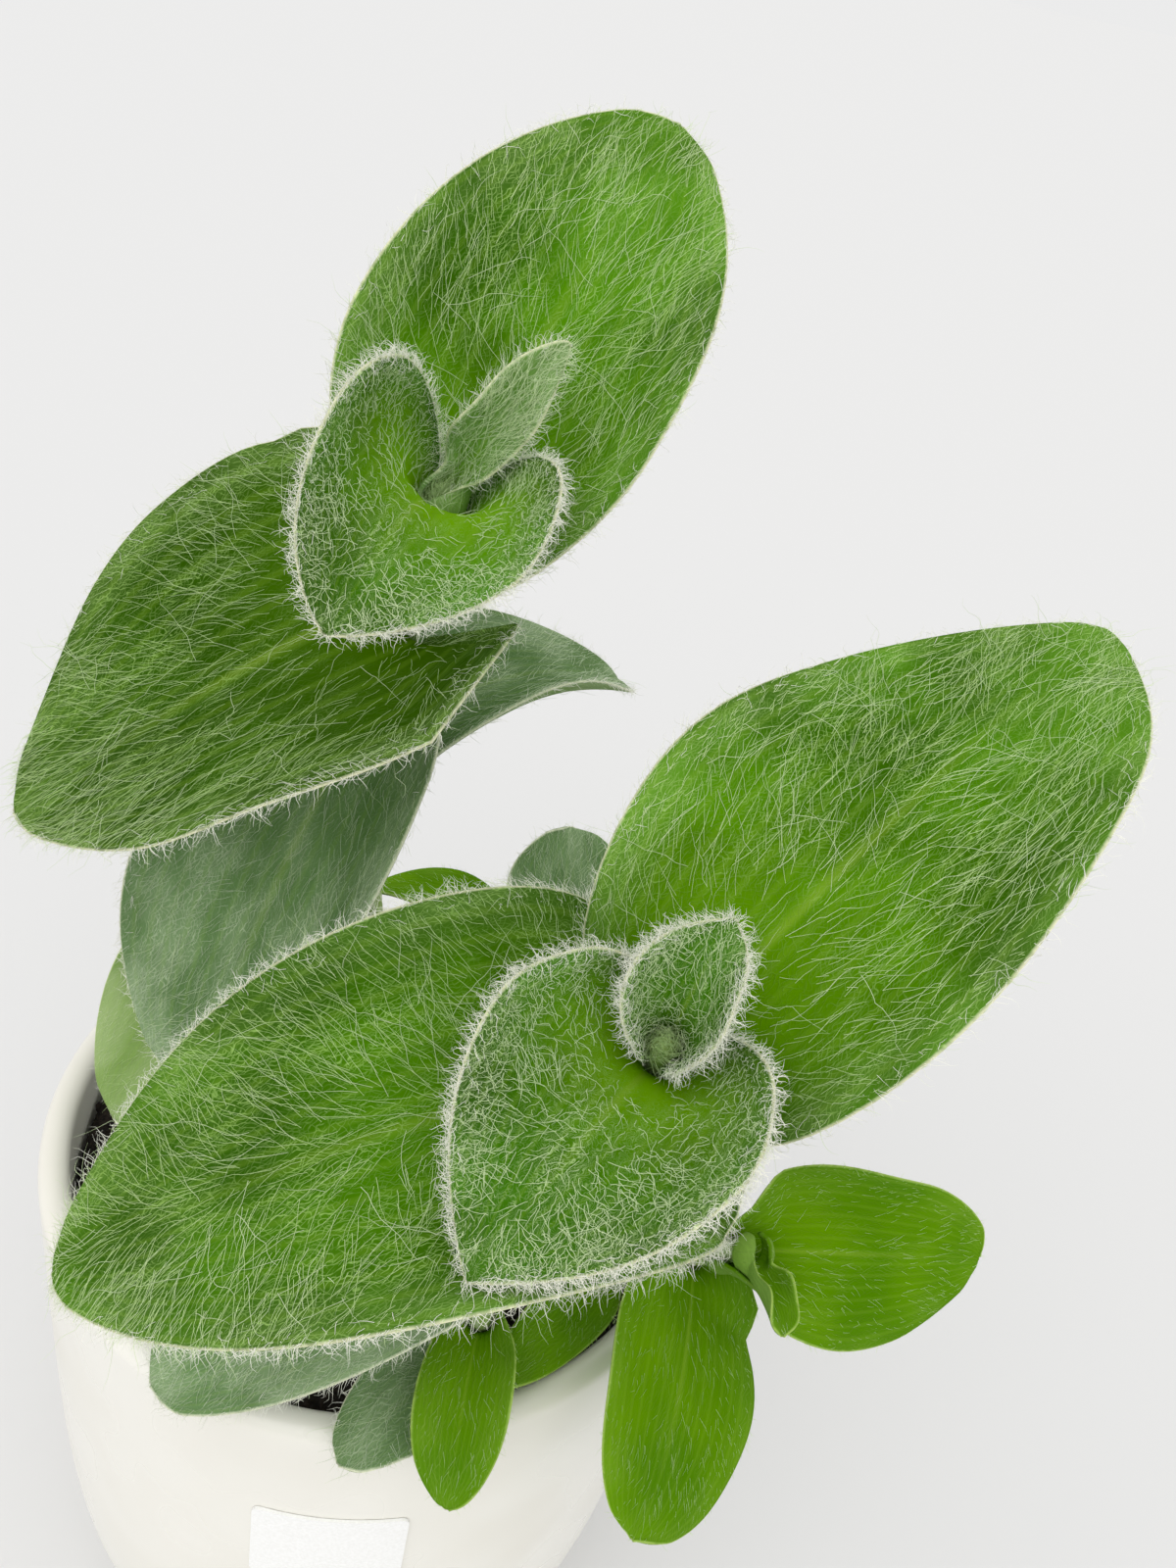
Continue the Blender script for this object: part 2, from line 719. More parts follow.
def smooth_path(knots, steps=200):
    """A uniform Catmull-Rom curve through the knots, as many close points."""
    knots = np.array(knots, float)
    ends = np.vstack([2 * knots[0] - knots[1], knots, 2 * knots[-1] - knots[-2]])
    t = np.linspace(0, 1, steps, endpoint=False)[:, None]
    parts = []
    for i in range(1, len(ends) - 2):
        a, b, c, d = ends[i - 1:i + 3]
        bend = (2 * a - 5 * b + 4 * c - d) * t ** 2 + (3 * b - a - 3 * c + d) * t ** 3
        parts.append(0.5 * (2 * b + (c - a) * t + bend))
    return np.vstack(parts + [knots[-1:]])


class Path:
    """Points with the distance along them, so that any place on the way can be looked up."""

    def __init__(self, points):
        self.points = points
        steps = np.linalg.norm(np.diff(points, axis=0), axis=1)
        self.along = np.concatenate([[0], np.cumsum(steps)])
        self.length = self.along[-1]

    def at(self, distance):
        distance = np.clip(distance, 0, self.length)
        parts = [np.interp(distance, self.along, self.points[:, k]) for k in range(3)]
        return np.stack(parts, axis=-1)

    def heading(self, distance, step=0.4):
        distance = np.clip(distance, 0, self.length)
        ahead = self.at(np.minimum(distance + step, self.length))
        return unit(ahead - self.at(np.maximum(distance - step, 0)))


class Stem(Path):
    def __init__(self, knots, root_radius, top_radius):
        super().__init__(smooth_path(knots))
        self.root_radius = root_radius
        self.top_radius = top_radius

    def radius(self, distance):
        return self.root_radius + (self.top_radius - self.root_radius) * distance / self.length


stems = {name: Stem(*values) for name, values in STEMS.items()}
print("stem lengths in mm:", {name: round(stem.length, 1) for name, stem in stems.items()})

# %% Stem finish
def make_stem_finish():
    material, tree, surface = new_material("stem skin")
    place = add_node(tree, "ShaderNodeTexCoord").outputs["Object"]
    streaks = noise(tree, vector_math(tree, "MULTIPLY", place, (1.0, 1.0, 0.12)), 2400.0)
    marks = uneven_marks(tree, 1800.0, 120.0)
    green = blend_colour(tree, marks["Clouds"], linear("7fa04a"), linear("a3b96d"))
    streak_share = step_between(tree, streaks, 0.5, 0.68, 0.0, 0.55)
    fill(tree, surface, {
        "Base Color": blend_colour(tree, streak_share, green, linear("dfe6cf")),
        "Roughness": step_between(tree, marks["Grain"], 0, 1, 0.5, 0.7),
        "Subsurface Weight": 0.1, "Subsurface Radius": (0.6, 1.0, 0.2), "Subsurface Scale": MM,
    })
    add_bump(tree, surface, streaks, 0.3, 0.0001)
    return material


# %% Stem skins
STEM_SIDES = 18
STEM_STEP = 1.6
STEM_END_STEPS = np.array([2.2, 1.4, 0.8, 0.35, 0.1])
ROUNDED_END = 3


def tube_frames(path, distances):
    """Two directions square to a path at each place, carried along it without twist."""
    headings = path.heading(distances)
    sides = [unit(np.cross(headings[0], (0.0, 1.0, 0.3)))]
    for heading in headings[1:]:
        side = sides[-1] - heading * np.dot(sides[-1], heading)
        sides.append(unit(side))
    sides = np.array(sides)
    return sides, np.cross(headings, sides)


def stem_distances(stem):
    """Places along a stem, closer together where its end is rounded."""
    even = np.arange(0, stem.length - 2.4, STEM_STEP)
    return np.concatenate([even, stem.length - STEM_END_STEPS])


def make_stem(name, stem, finish):
    distances = stem_distances(stem)
    sides, others = tube_frames(stem, distances)
    nearness = np.clip((stem.length - distances) / ROUNDED_END, 0.05, 1)
    swelling = 0.12 * np.sin(distances * 0.9) * np.sin(distances * 0.23 + 1)
    radii = (stem.radius(distances) + swelling) * np.sqrt(1 - (1 - nearness) ** 2)
    angles = np.linspace(0, 2 * math.pi, STEM_SIDES, endpoint=False)[None, :, None]
    rings = sides[:, None] * np.cos(angles) + others[:, None] * np.sin(angles)
    points = stem.at(distances)[:, None] + rings * radii[:, None, None]
    rows = len(distances) - 1
    faces = grid_faces(rows, STEM_SIDES, wrap=True)
    faces.append(tuple(reversed(range(STEM_SIDES))))
    faces.append(tuple(rows * STEM_SIDES + side for side in range(STEM_SIDES)))
    return make_piece(f"stem_skin_{name}", points.reshape(-1, 3), faces, finish)


stem_finish = make_stem_finish()
stem_skins = {name: make_stem(name, stem, stem_finish) for name, stem in stems.items()}
for name, skin in stem_skins.items():
    hand_over(skin, "stem", f"stem_{name}")

# %% [markdown]
# ## The leaves
#
# Each leaf starts as a sheath wrapped round the stem and opens into a broad, cupped blade with
# a pointed tip. Leaves could be flat shapes bent by modifiers, but then the sheath and the blade
# would have to be joined by hand. Here one formula gives the whole leaf. A midrib follows the
# stem and then bends out to the tip. Across it lies an arc, nearly a full ring at the sheath and
# almost flat in the blade. Its length is the leaf's width at that place.
#
# The leaves are of six kinds: the big velvet ones, young ones in dense down, the bud at the top,
# grey-green older ones, a pale one, and fresh, nearly bare ones. A kind says how far its hairs
# fan out, how bare the hollow at the base is, and how far up the blade that hollow reaches.

# %% Leaf table
HABITS = {
    "velvet": dict(fan=0.55, bare=0.55, reach=0.3),
    "young": dict(fan=0.8, bare=1.0, reach=0.36),
    "bud": dict(fan=0.3, bare=0.2, reach=0.25),
    "grey": dict(fan=0.5, bare=0.3, reach=0.3),
    "pale": dict(fan=0.35, bare=0.2, reach=0.3),
    "fresh": dict(fan=0.35, bare=0.2, reach=0.35),
}
USUAL = dict(sheath=5, rise=0.1, arch=0.15, cup=0.5, open=0.12, base=0.7, belly=0.4,
             point=0.7, blunt=0.05, roll=0, edge=0.8, shade=0)


def leaf(stem, kind, at, tip, width, **form):
    """Where a leaf sits and ends, in mm, and what of its form is not as usual."""
    place = {"stem": stem, "kind": kind, "at": at, "tip": tip, "width": width}
    return {**USUAL, **HABITS[kind], **place, **form}


LEAVES = {
    "tall_1": leaf("tall", "pale", 41, (-33, -11.5, 94.5), 32, rise=0.15, belly=0.42,
                   point=0.68, roll=-8, edge=0.3),
    "tall_2": leaf("tall", "grey", 85, (-22, -15, 107.5), 32.5, sheath=3, arch=0.2, rise=0.2,
                   cup=0.95, base=0.6, belly=0.44, point=0.54, roll=12),
    "tall_3": leaf("tall", "grey", 74, (18, 33, 146.5), 21.5, sheath=4, arch=0.2, rise=0.35,
                   cup=1, belly=0.42, point=0.76, roll=-14),
    "tall_4": leaf("tall", "velvet", 98.5, (-40.5, -14.5, 143.5), 49.5, sheath=3, arch=0,
                   rise=0.2, base=0.85, belly=0.26, point=0.84, roll=7, shade=0.75),
    "tall_5": leaf("tall", "velvet", 104, (12, 31, 212.5), 36, sheath=3, arch=0.05, rise=0.25,
                   cup=0.85, base=0.3, point=0.8, roll=5, edge=0.5),
    "tall_6": leaf("tall", "young", 111.3, (-7.5, -22, 176), 30, sheath=2.5, arch=0.25, rise=0.4,
                   cup=1.15, open=0.6, base=0.85, belly=0.26, point=0.86, roll=-25, blunt=0.02,
                   edge=1.2, reach=0.46),
    "tall_7": leaf("tall", "bud", 117.8, (6.5, 4.5, 196), 7, sheath=1.6, arch=0.18, rise=0.31,
                   cup=1, open=0.2, base=0.6, belly=0.37, point=0.73, roll=63, blunt=0.02),
    "right_1": leaf("right", "grey", 42, (-15, -44, 96), 23, arch=0.2, cup=0.65, point=0.6,
                    roll=7),
    "right_2": leaf("right", "velvet", 65, (-21, -50, 122.5), 38.5, arch=0.35, rise=0.35,
                    cup=0.6, base=0.75, belly=0.3, point=0.92, roll=8, fan=1.0, edge=1.0,
                    shade=0.25),
    "right_3": leaf("right", "velvet", 75.5, (68.5, 16, 175), 39, sheath=4, arch=0.07,
                    rise=0.35, cup=0.6, open=0.1, base=0.35, point=1.05, roll=-24, fan=0.3,
                    edge=0.45, shade=0.05),
    "right_4": leaf("right", "young", 83.7, (15.5, -56, 142.5), 29.5, sheath=3, arch=0.2,
                    rise=0.3, cup=1, open=0.5, base=0.95, belly=0.36, point=1.1, blunt=0.02,
                    edge=1.4, shade=0.1),
    "right_5": leaf("right", "young", 91, (31.4, -29.1, 160.7), 15.5, sheath=2.6, arch=0.07,
                    rise=0.35, cup=1.5, open=0.5, base=0.95, belly=0.22, point=1.1, roll=-11,
                    blunt=0.02, edge=1.6, bare=0.05, shade=0.2),
    "side_1": leaf("side", "fresh", 19, (20.5, -34, 92.5), 9, sheath=3, arch=0.2, edge=0.3),
    "side_2": leaf("side", "fresh", 33, (38, -46, 89.5), 23.5, sheath=2.5, rise=0, cup=0.15,
                   open=0.15, belly=0.44, point=0.64, roll=2, edge=0.3),
    "side_3": leaf("side", "fresh", 40, (76.5, -10, 101), 22, sheath=2.5, arch=0.05, cup=0.45,
                   open=0.15, base=0.65, belly=0.42, point=0.6, roll=34, edge=0.3),
    "side_4": leaf("side", "fresh", 45, (50.5, -28.5, 104.2), 7, sheath=1.5, arch=0.2, cup=1.8,
                   edge=0.3),
    "front_1": leaf("front", "grey", 17, (6, -46.5, 93), 11.5, sheath=3, arch=0.25, belly=0.44,
                    point=0.6),
    "front_2": leaf("front", "fresh", 27, (18, -47.5, 90.5), 10.5, sheath=2, arch=0.38,
                    belly=0.42, blunt=0.02, edge=0.3),
    "back_1": leaf("back", "fresh", 21, (-11, 29, 106), 17, sheath=3, arch=0.3, edge=0.3),
    "back_2": leaf("back", "grey", 28, (15.5, 42.5, 114.5), 21.5, sheath=3, arch=0.25,
                   point=0.6, roll=-7),
}
print("leaves:", len(LEAVES))

# %% Midrib
SHEATH_CLEARANCE = 0.8
SHEATH_WRAP = 2.7
BLADE_BEND = 0.5


def make_midrib(stem, leaf):
    """The leaf's middle line, and the direction across it at the stem."""
    base = stem.at(leaf["at"])
    mouth_at = leaf["at"] + leaf["sheath"]
    up = stem.heading(mouth_at)
    tip = np.array(leaf["tip"], float)
    outward = tip - base
    outward = unit(outward - up * np.dot(outward, up))
    stand = stem.radius(leaf["at"]) + SHEATH_CLEARANCE
    start = stem.at(mouth_at) + outward * stand
    reach = np.linalg.norm(tip - start)
    handle = start + up * leaf["rise"] * reach
    shoulder = handle + (tip - handle) * (1 - BLADE_BEND) + up * leaf["arch"] * reach
    t = np.linspace(0, 1, 240)[:, None]
    s = 1 - t
    blade = s ** 3 * start + 3 * s ** 2 * t * handle + 3 * s * t ** 2 * shoulder + t ** 3 * tip
    along = np.linspace(0, leaf["sheath"], 24, endpoint=False)
    sheath = stem.at(leaf["at"] + along) + outward * stand
    return Path(np.vstack([sheath, blade])), unit(np.cross(outward, up)), stand


def blade_half_width(leaf, t):
    """The half width at a share t of the blade, as a share of the widest, with a rounded tip."""
    belly, blunt = leaf["belly"], leaf["blunt"]
    rising = leaf["base"] + (1 - leaf["base"]) * (1 - (1 - np.minimum(t / belly, 1)) ** 2)
    fall = np.clip((t - belly) / (1 - belly), 0, 1) * (1 - 0.7 * blunt)
    rounding = np.sqrt(1 - np.clip((t - 1 + blunt) / blunt, 0, 1) ** 2)
    return np.where(t < belly, rising, rounding * (1 - fall ** 2) ** leaf["point"])


# %% Blade surface
WAVE_HEIGHT = 0.4
WAVE_TURNS = 1.6
WAVE_SKEW = 0.3
TIP_HALF = 0.18


def row_shares(rows):
    """Shares of the midrib's length for the rows, closer together at the base and the tip."""
    return 1 - (1 - np.linspace(0, 1, rows + 1) ** 1.15) ** 1.6


def blade_surface(stem, leaf, rows, columns):
    """The leaf's middle surface as a grid, with its coordinates at each point."""
    midrib, across, stand = make_midrib(stem, leaf)
    u = row_shares(rows)
    v = np.linspace(-1, 1, columns + 1)
    centre = midrib.at(u * midrib.length)
    tangent = midrib.heading(u * midrib.length, 1.0)
    sheath_end = leaf["sheath"] / midrib.length
    flare = 0.6 * sheath_end
    open_end = sheath_end + (1 - sheath_end) * leaf["open"]
    wide_end = sheath_end + (1 - sheath_end) * leaf["open"] * 0.6
    t = np.maximum((u - sheath_end) / (1 - sheath_end), 0)
    opening = smooth((u - flare) / (open_end - flare))
    widening = smooth((u - flare) / (wide_end - flare))
    sheath_half = SHEATH_WRAP * stand
    blade_half = leaf["width"] / 2 * blade_half_width(leaf, t)
    half = np.maximum(sheath_half + (blade_half - sheath_half) * widening, TIP_HALF)
    flattening = 0.5 * leaf["cup"] * smooth((t - 0.4) / 0.6)
    arc = SHEATH_WRAP + (leaf["cup"] - SHEATH_WRAP) * opening - flattening
    roll = math.radians(leaf["roll"]) * smooth(t * 1.6)
    inward = unit(np.cross(across, tangent))
    normal = inward * np.cos(roll)[:, None] + np.cross(tangent, inward) * np.sin(roll)[:, None]
    sideways = np.cross(tangent, normal)
    radius = half / arc
    turns = WAVE_TURNS * t[:, None] + WAVE_SKEW * v[None]
    calm = WAVE_HEIGHT * smooth(4 * t) * np.minimum(half / 2, 1)
    wave = calm[:, None] * np.abs(v[None]) ** 3 * np.sin(2 * math.pi * turns)
    swing = arc[:, None] * v[None]
    outward = (radius[:, None] * np.sin(swing))[..., None] * sideways[:, None]
    upward = (radius[:, None] * (1 - np.cos(swing)) + wave)[..., None] * normal[:, None]
    points = centre[:, None] + outward + upward
    return {"points": points, "u": u, "v": v, "t": t, "half": half, "length": midrib.length}


# %% [markdown]
# The blade has a thickness: about a millimetre at the midrib and half of that at the margin,
# which is rounded. The upper face has a shallow groove over the midrib, and the lower face has
# its ridge. Each point keeps what the coat of hairs will ask for: which way a hair grows there,
# how thickly hairs stand, and how much they lift. Two UV maps go with it: one in shares of the
# blade, for veins and tint, and one in real lengths, for the felt.

# %% Two faces of a blade
BLADE_CENTRE = 1.0
BLADE_EDGE = 0.45
GROOVE_DEPTH = 0.16
GROOVE_HALF = 0.7


def blade_faces(surface, fan_angle):
    """The points of the upper and lower face, and what is measured at each of them."""
    points = surface["points"]
    u, v, half = surface["u"][:, None], surface["v"][None], surface["half"][:, None]
    lengthways = unit(np.gradient(points, axis=0))
    crossways = unit(np.gradient(points, axis=1))
    outward = unit(np.cross(lengthways, crossways))
    thickness = BLADE_CENTRE + (BLADE_EDGE - BLADE_CENTRE) * np.abs(v) ** 1.5
    thickness = thickness * np.minimum(1, 0.35 + half / 2)
    across = half * v
    groove = np.exp(-(across / GROOVE_HALF) ** 2) * smooth(surface["t"] * 6)[:, None]
    groove = GROOVE_DEPTH * groove
    fan = fan_angle * np.sign(v) * smooth(np.abs(v) * 5)
    return {
        "upper": (points - outward * (thickness / 2 - groove)[..., None]).reshape(-1, 3),
        "lower": (points + outward * (thickness / 2 + 0.8 * groove)[..., None]).reshape(-1, 3),
        "crossways": crossways.reshape(-1, 3),
        "grow": (lengthways * np.cos(fan)[..., None]
                 + crossways * np.sin(fan)[..., None]).reshape(-1, 3),
        "to_margin": (half * (1 - np.abs(v)) + 0 * u).ravel(),
        "across": (across + 0 * u).ravel(),
        "along": (u * surface["length"] + 0 * v).ravel(),
    }


# %% Leaf mesh
LARGE_WIDTH = 20
LARGE_GRID = (46, 20)
SMALL_GRID = (32, 14)
RIM_SWELL = 0.22


def rim_points(surface, sheet, ring, rows, columns):
    """The points of the rounded margin, and the way out of the blade at each of them."""
    edge_centre = (sheet["upper"][ring] + sheet["lower"][ring]) / 2
    middle = surface["points"][:, columns // 2]
    row_of = np.array(ring) // (columns + 1)
    away = unit(edge_centre - middle[row_of] + 1e-6 * sheet["crossways"][ring])
    away[row_of == rows] = unit(middle[-1] - middle[-3])
    away[row_of == 0] = unit(middle[0] - middle[2])
    return edge_centre + away * RIM_SWELL, away


def make_leaf(name, leaf, finish):
    rows, columns = LARGE_GRID if leaf["width"] > LARGE_WIDTH else SMALL_GRID
    surface = blade_surface(stems[leaf["stem"]], leaf, rows, columns)
    sheet = blade_faces(surface, leaf["fan"])
    layer = (rows + 1) * (columns + 1)
    faces = grid_faces(rows, columns) + grid_faces(rows, columns, layer, flip=True)
    ring = edge_ring(rows, columns)
    rim, away = rim_points(surface, sheet, ring, rows, columns)
    for i, a in enumerate(ring):
        j = (i + 1) % len(ring)
        b, edge_a, edge_b = ring[j], 2 * layer + i, 2 * layer + j
        faces.append((b, edge_b, edge_a, a))
        faces.append((edge_b, layer + b, layer + a, edge_a))
    points = np.vstack([sheet["upper"], sheet["lower"], rim])
    piece = make_piece(f"leaf_blade_{name}", points, faces, finish)
    add_leaf_values(piece.data, surface, sheet, ring, away, leaf)
    return piece


# %% [markdown]
# The hollow at the base of a blade is nearly bare, and wool gathers near the tip and along the
# margin. Both are soft shapes in the blade's own coordinates, so they are formulas of the share
# t from sheath to tip and the share v from midrib to margin. The margin itself is a line of
# points of its own, which carries the dense cream fringe, and there the hairs turn outward.

# %% Values at the points of a leaf
LOWER_SHARE = 0.08
MARGIN_BAND = 1.3
BAND_SHARE = 0.06
WOOL_BORDER = 6
FULL_HAIR_AT = 7.0
RIM_LIFT = 1.4
FELT_UNIT = 10


def set_map(mesh, name, values):
    loops = np.zeros(len(mesh.loops), int)
    mesh.loops.foreach_get("vertex_index", loops)
    layer = mesh.uv_layers.new(name=name)
    layer.data.foreach_set("uv", values[loops].astype(np.float32).ravel())


def add_leaf_values(mesh, surface, sheet, ring, away, leaf):
    bare, edge = leaf["bare"], leaf["edge"]
    count, columns = len(sheet["across"]), len(surface["v"])
    both = np.concatenate([np.arange(count), np.arange(count), ring])
    sizes = [count, count, len(ring)]
    is_lower, is_rim = np.repeat([0.0, 1.0, 0.0], sizes), np.repeat([0.0, 0.0, 1.0], sizes)
    u, t = surface["u"][both // columns], surface["t"][both // columns]
    v = surface["v"][both % columns]
    to_margin = sheet["to_margin"][both]
    in_blade = smooth((t - 0.02) * 14)
    hollow = np.minimum(1.3 * np.exp(-(t / leaf["reach"]) ** 2) * (1 - v ** 2), 1)
    wool = np.maximum(0.6 * smooth((t - 0.5) / 0.5), 1 - smooth(to_margin / WOOL_BORDER))
    band = 1 - smooth(to_margin / (MARGIN_BAND * edge))
    directions = sheet["grow"][both]
    directions[is_rim > 0] = unit(1.8 * away + 0.6 * sheet["grow"][ring])
    on_midrib = 0.5 * bare * np.exp(-(v / 0.3) ** 2)
    upper_share = (1 - bare * hollow) * (1 - on_midrib) * (0.6 + 0.8 * wool)
    face_share = np.where(is_lower > 0, LOWER_SHARE, upper_share)
    full_size_at = min(FULL_HAIR_AT, 0.3 * leaf["width"])
    values = {
        "grow": directions,
        "face_share": face_share * (1 - 0.6 * is_rim) * (0.5 + 0.5 * in_blade),
        "margin_share": edge * (BAND_SHARE * band * (1 - is_lower) + is_rim) * in_blade,
        "face_size": np.clip(0.2 + to_margin / full_size_at, 0, 1),
        "margin_size": np.ones(len(both)),
        "lift": 1.0 + RIM_LIFT * is_rim,
        "hollow": hollow * min(1, 2 * bare),
        "wool": wool,
        "shade": np.full(len(both), leaf["shade"]),
        "rim": is_rim * in_blade,
        "lower": is_lower,
    }
    for name, amounts in values.items():
        set_value(mesh, name, amounts)
    set_map(mesh, "Blade", np.stack([0.5 + 0.5 * v, u], axis=-1))
    across, along = sheet["across"][both] / FELT_UNIT, sheet["along"][both] / FELT_UNIT
    set_map(mesh, "Felt", np.stack([across + 3.0 * is_lower, along], axis=-1))


# %% [markdown]
# ## Leaf finishes
#
# Under the hairs the skin is a clear green, yellower in the hollow and along the midrib, with
# fine veins that run from base to tip. The six kinds differ in tint and in how thick their felt
# is. Each could be painted by hand, but one function makes all six from a short list: four
# greens and the rim's colour, how strongly the felt veils and covers them, how much of the veil
# lies everywhere, and how fine, crossed and curled its strands are. The shader stays in each
# material, and only the felt and the unevenness are groups.

# %% Leaf finish
KINDS = {
    "velvet": dict(deep="2b5600", light="4a8200", base="6ca200", felt="b4da7c", rim="f4f2d0",
                   veil=0.16, low=0.05, cover=0.6, fineness=1.3, spread=0.8, curl=0.3),
    "young": dict(deep="285200", light="3e7a00", base="86c000", felt="c2de98", rim="f4f2d0",
                  veil=0.05, low=0.15, cover=0.75, fineness=1.5, spread=1.0, curl=0.8),
    "bud": dict(deep="447410", light="5c9020", base="84b808", felt="dceac4", rim="f4f2d0",
                veil=0.2, low=0.3, cover=0.9, fineness=1.1, spread=0.6, curl=0.5),
    "grey": dict(deep="42682c", light="567e40", base="66904a", felt="c2d4b0", rim="eef0d4",
                 veil=0.38, low=0.6, cover=0.85, fineness=1.2, spread=0.6, curl=0.3),
    "pale": dict(deep="66883c", light="789a48", base="84a84c", felt="c8d8a8", rim="dce6b4",
                 veil=0.35, low=0.5, cover=0.5, fineness=1.3, spread=0.4, curl=0.2),
    "fresh": dict(deep="4a7c00", light="629200", base="6c9c00", felt="a4c460", rim="b4d06c",
                  veil=0.08, low=0.1, cover=0.3, fineness=1.3, spread=0.3, curl=0.2),
}
SHADED_GREEN = linear("1e3c00")
MIDRIB_GREEN = linear("93b23a")
VEIN_GREEN = linear("86ac34")
LOWER_GREEN = linear("94ad68")
VEINS = 15


def attribute_value(tree, name):
    return add_node(tree, "ShaderNodeAttribute", attribute_name=name).outputs["Fac"]


def skin_green(tree, look, hollow):
    """The green of the skin, and its veins as a wave between minus one and one."""
    blade = add_node(tree, "ShaderNodeUVMap", uv_map="Blade").outputs[0]
    across, along = split(tree, blade)
    marks = uneven_marks(tree, 900.0, 70.0)
    green = blend_colour(tree, marks["Clouds"], linear(look["deep"]), linear(look["light"]))
    green = blend_colour(tree, product(tree, hollow, 0.9), green, linear(look["base"]))
    green = blend_colour(tree, attribute_value(tree, "shade"), green, SHADED_GREEN)
    from_midrib = calculate(tree, "ABSOLUTE", calculate(tree, "SUBTRACT", across, 0.5))
    on_midrib = step_between(tree, from_midrib, 0.0, 0.022, 0.35, 0.0)
    fading = step_between(tree, along, 0.3, 0.9, 1.0, 0.0)
    green = blend_colour(tree, product(tree, on_midrib, fading), green, MIDRIB_GREEN)
    veins = calculate(tree, "SINE", product(tree, across, 2 * math.pi * VEINS))
    vein_share = step_between(tree, veins, 0.3, 1.0, 0.0, 0.14)
    return blend_colour(tree, vein_share, green, VEIN_GREEN), veins


def make_leaf_finish(kind):
    look = KINDS[kind]
    material, tree, surface = new_material(f"{kind} leaf")
    hollow = attribute_value(tree, "hollow")
    green, veins = skin_green(tree, look, hollow)
    place = add_node(tree, "ShaderNodeUVMap", uv_map="Felt").outputs[0]
    fine_place = scaled(tree, place, look["fineness"])
    strands = use_group(
        tree, felt, Place=fine_place, Spread=look["spread"], Curl=look["curl"],
    )["Strands"]
    broad_place = vector_math(tree, "MULTIPLY", place, (1.6, 0.8, 1.0))
    patches = step_between(tree, noise(tree, broad_place, 1.0), 0.35, 0.65)
    patches = step_between(tree, patches, 0.0, 1.0, 0.35, 1.0)
    woolly = product(tree, calculate(tree, "SUBTRACT", 1.0, hollow), patches)
    wool = attribute_value(tree, "wool")
    haze = calculate(tree, "MULTIPLY_ADD", wool, 1.0 - look["low"], look["low"])
    veil = product(tree, woolly, haze, look["veil"])
    cover = product(tree, woolly, look["cover"], strands)
    worn = step_between(tree, noise(tree, place, 8.0, 3.0), 0.3, 0.55, 0.5, 1.0)
    rim = product(tree, attribute_value(tree, "rim"), worn)
    lower = product(tree, attribute_value(tree, "lower"), 0.35)
    colour = blend_colour(tree, veil, green, linear(look["felt"]))
    colour = blend_colour(tree, cover, colour, linear(look["felt"]))
    colour = blend_colour(tree, rim, colour, linear(look["rim"]))
    colour = blend_colour(tree, lower, colour, LOWER_GREEN)
    roughness = step_between(tree, strands, 0, 1, 0.5, 0.8)
    fill(tree, surface, {"Base Color": colour, "Roughness": roughness, "Specular IOR Level": 0.0})
    height = calculate(tree, "ADD", strands, product(tree, veins, 0.25))
    add_bump(tree, surface, height, 0.5, 0.00012)
    return material


# %% Leaves
leaf_slots = {kind: f"{kind}_leaf" for kind in KINDS}
leaf_slots.update(bud="young_leaf", pale="fresh_leaf")
leaf_finishes = {kind: make_leaf_finish(kind) for kind in KINDS}
leaf_pieces = {}
for name, form in LEAVES.items():
    leaf_pieces[name] = make_leaf(name, form, leaf_finishes[form["kind"]])
    hand_over(leaf_pieces[name], leaf_slots[form["kind"]], f"leaf_{name}")

# %% [markdown]
# ## The coat of hairs
#
# The hairs are silky and wavy. They leave the skin at a low angle and lie along the blade,
# fanning out a little from the midrib. Blender's hair system would draw them, but it leaves no
# mesh behind. So Geometry Nodes grow each hair as a thin tapering tube: points on the faces, a
# short curve on each point turned to the growing direction, a shake by a noise that differs
# from hair to hair, and a three-sided profile swept along it and closed at both ends.

# %% One hair
HAIR_SIDES = 3
HAIR_INPUTS = [
    ("Skin", GEOMETRY, None), ("Share", "NodeSocketString", "face_share"),
    ("Size", "NodeSocketString", "face_size"), ("Density", FLOAT, 1e6),
    ("Length", FLOAT, 0.005), ("Width", FLOAT, 0.00009), ("Lift", FLOAT, 0.15),
    ("Bow", FLOAT, 0.06), ("Spread", FLOAT, 0.35), ("Swirl", FLOAT, 1.4), ("Patch", FLOAT, 0.5),
    ("Wave", FLOAT, 0.0004), ("Curl", FLOAT, 420.0), ("Parts", WHOLE, 5), ("Seed", WHOLE, 1),
    ("Material", "NodeSocketMaterial", None),
]


def template_hair(tree, given):
    """A curve of length one along X that rises in a low bow."""
    line = add_node(tree, "GeometryNodeCurvePrimitiveLine", {"End": (1, 0, 0)})
    parts = add_node(tree, "GeometryNodeResampleCurve", {
        "Curve": line.outputs[0], "Count": calculate(tree, "ADD", given["Parts"], 1.0),
    })
    factor = add_node(tree, "GeometryNodeSplineParameter").outputs["Factor"]
    rise = calculate(tree, "SINE", product(tree, factor, 2.6))
    offset = add_node(tree, "ShaderNodeCombineXYZ", {"Z": product(tree, rise, given["Bow"])})
    return add_node(tree, "GeometryNodeSetPosition", {
        "Geometry": parts.outputs[0], "Offset": offset.outputs[0],
    }).outputs[0]


def turned_by(tree, rotation, axis, angle):
    turn = add_node(tree, "FunctionNodeAxisAngleToRotation", {"Axis": axis, "Angle": angle})
    inputs = {"Rotation": rotation, "Rotate By": turn.outputs[0]}
    return add_node(tree, "FunctionNodeRotateRotation", inputs, rotation_space="LOCAL").outputs[0]


# %% Roots of the hairs
PATCH_FINENESS = 150.0
SWIRL_FINENESS = 130.0


